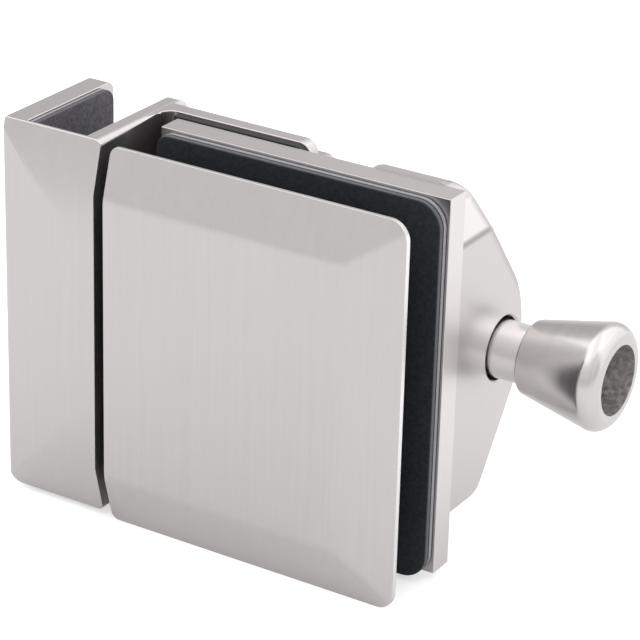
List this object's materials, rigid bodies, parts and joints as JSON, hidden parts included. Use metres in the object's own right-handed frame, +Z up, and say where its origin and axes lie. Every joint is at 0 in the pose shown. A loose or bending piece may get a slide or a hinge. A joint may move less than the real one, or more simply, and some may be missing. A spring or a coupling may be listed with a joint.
{
  "type": "glass gate latch",
  "caption": "self-locking stainless steel latch for a glass gate: spring bolt with a pull knob, clamped on the gate pane, and a right-angle strike that clamps the fixed pane",
  "frame": {"origin": "midway between the two clamp studs of the gate pane, at the middle of the gate pane's thickness", "axes": "X runs along the gate pane from the strike to the knob, Y runs from the front cover through the gate pane to the back, Z is up"},
  "size_m": [0.132, 0.0591, 0.0915],
  "materials": {
    "satin_steel": "stainless steel with a fine vertical satin grain",
    "turned_steel": "turned stainless steel, finely brushed round the axis",
    "screw_steel": "plain stainless steel",
    "black_steel": "blackened hardened steel",
    "spring_steel": "drawn stainless spring wire",
    "bush_brass": "machined brass",
    "pad_rubber": "black rubber sheet, matt",
    "liner_rubber": "dark grey rubber sheet, matt"
  },
  "bodies": {
    "latch_and_strike": {"strike_body": "satin_steel", "strike_outer_liner": "liner_rubber", "strike_outer_pad": "pad_rubber", "strike_inner_liner": "liner_rubber", "strike_inner_pad": "pad_rubber", "strike_shoulder_screws": "screw_steel", "keeper_plate": "satin_steel", "keeper_screws": "screw_steel", "strike_buffer": "pad_rubber", "front_cover": "satin_steel", "cover_studs": "screw_steel", "cover_liner": "liner_rubber", "cover_pad": "pad_rubber", "plate_pad": "pad_rubber", "plate_liner": "liner_rubber", "back_plate": "satin_steel", "clamp_screws": "screw_steel", "latch_housing": "satin_steel", "housing_screws": "screw_steel", "stop_bush": "bush_brass", "bush_screw": "black_steel", "guide_pin": "black_steel", "bolt_spring": "spring_steel"},
    "bolt_train": {"bolt": "turned_steel", "spindle": "turned_steel", "roll_pin": "black_steel", "neck_sleeve": "turned_steel", "knob": "turned_steel"}
  },
  "joints": [
    {"name": "bolt_slide", "type": "slide", "parent": "latch_and_strike", "child": "bolt_train", "axis": [1, 0, 0], "range_m": [0, 0.008], "stiffness_N_per_m": 3000, "springref_m": -0.004, "deforming": ["bolt_spring"]}
  ]
}
